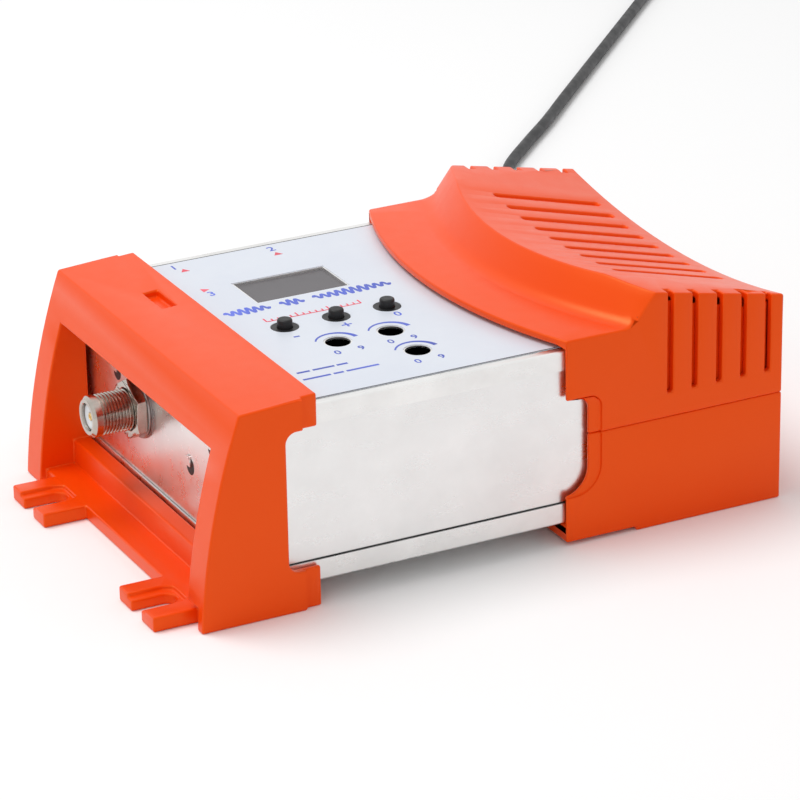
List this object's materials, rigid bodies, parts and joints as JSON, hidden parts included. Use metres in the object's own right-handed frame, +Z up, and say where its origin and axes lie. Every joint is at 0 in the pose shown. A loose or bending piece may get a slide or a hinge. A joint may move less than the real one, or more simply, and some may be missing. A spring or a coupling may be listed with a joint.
{
  "type": "rf modulator",
  "caption": "Boxy signal modulator: metal case between moulded end covers, with threaded aerial sockets, a display, buttons, trimmers and a mains lead.",
  "frame": {"origin": "bottom centre of the object's box, without the free mains lead and what is on it", "axes": "+Z up; -Y towards the front bumper with the output socket; +Y towards the rear housing and the lead's strain relief; +X towards the long side without sockets"},
  "size_m": [0.4742, 0.3708, 0.0575],
  "materials": {
    "orange": "moulded, satin gloss",
    "tinplate": "bright tin plate, faint rolling marks",
    "label": "printed film, smooth",
    "smoked": "smoked window",
    "black_plastic": "matte",
    "blue_plastic": "matte",
    "white_plastic": "satin",
    "yellow_plastic": "satin",
    "nickel": "nickel plate",
    "brass": "plated brass",
    "board": "solder mask",
    "sleeve": "shrink sleeve",
    "ferrite": "ferrite",
    "winding": "insulating tape",
    "fuse_ceramic": "ceramic",
    "screw_steel": "zinc plate",
    "black_rubber": "soft matte",
    "brown_rubber": "wire insulation"
  },
  "bodies": {
    "casing": {"front_cover": "orange", "rear_cover_top": "orange", "rear_cover_bottom": "orange", "box_frame": "tinplate", "box_top_lid": "tinplate", "box_bottom_lid": "tinplate", "top_label": "label", "display_filter": "smoked", "led_display": "black_plastic", "display_socket": "black_plastic", "main_board": "board", "switch_down": "black_plastic", "switch_up": "black_plastic", "switch_set": "black_plastic", "trimmer_video": "blue_plastic", "trimmer_audio": "blue_plastic", "trimmer_level": "blue_plastic", "rf_out_body": "nickel", "rf_out_insulator": "white_plastic", "rf_out_contact": "brass", "rf_out_nut": "nickel", "rf_out_washer": "nickel", "rf_in_body": "nickel", "rf_in_insulator": "white_plastic", "rf_in_contact": "brass", "rf_in_nut": "nickel", "rf_in_washer": "nickel", "video_in_shell": "nickel", "video_in_tongue": "black_plastic", "tuner_shield": "tinplate", "video_chip": "black_plastic", "control_chip": "black_plastic", "crystal": "nickel", "board_capacitors": "sleeve", "dc_header": "white_plastic", "dc_lead": "black_rubber", "lead_grommet": "black_rubber", "psu_board": "board", "transformer_core": "ferrite", "transformer_winding": "winding", "bulk_capacitor": "sleeve", "output_capacitor": "sleeve", "line_filter": "yellow_plastic", "fuse": "fuse_ceramic", "power_chip": "black_plastic", "mains_wires": "brown_rubber", "cover_screws": "screw_steel", "cord_gland": "black_rubber", "cord_run": "black_rubber", "cord_coil": "black_rubber", "cord_tie": "black_plastic", "plug_body": "black_rubber", "plug_pins": "nickel"},
    "button_down": {"button_down": "black_plastic"},
    "button_up": {"button_up": "black_plastic"},
    "button_set": {"button_set": "black_plastic"},
    "rotor_video": {"rotor_video": "white_plastic"},
    "rotor_audio": {"rotor_audio": "white_plastic"},
    "rotor_level": {"rotor_level": "white_plastic"}
  },
  "joints": [
    {"name": "button_down_press", "type": "slide", "parent": "casing", "child": "button_down", "axis": [0, 0, -1], "range_m": [0, 0.0003], "stiffness_N_per_m": 800, "springref_m": -0.0002},
    {"name": "button_up_press", "type": "slide", "parent": "casing", "child": "button_up", "axis": [0, 0, -1], "range_m": [0, 0.0003], "stiffness_N_per_m": 800, "springref_m": -0.0002},
    {"name": "button_set_press", "type": "slide", "parent": "casing", "child": "button_set", "axis": [0, 0, -1], "range_m": [0, 0.0003], "stiffness_N_per_m": 800, "springref_m": -0.0002},
    {"name": "rotor_video_turn", "type": "hinge", "parent": "casing", "child": "rotor_video", "pos_m": [0.02265, -0.0193, 0.0335], "axis": [0, 0, 1], "range_deg": [-130, 130]},
    {"name": "rotor_audio_turn", "type": "hinge", "parent": "casing", "child": "rotor_audio", "pos_m": [0.02265, -0.0063, 0.0335], "axis": [0, 0, 1], "range_deg": [-130, 130]},
    {"name": "rotor_level_turn", "type": "hinge", "parent": "casing", "child": "rotor_level", "pos_m": [0.03565, -0.0063, 0.0335], "axis": [0, 0, 1], "range_deg": [-130, 130]}
  ]
}
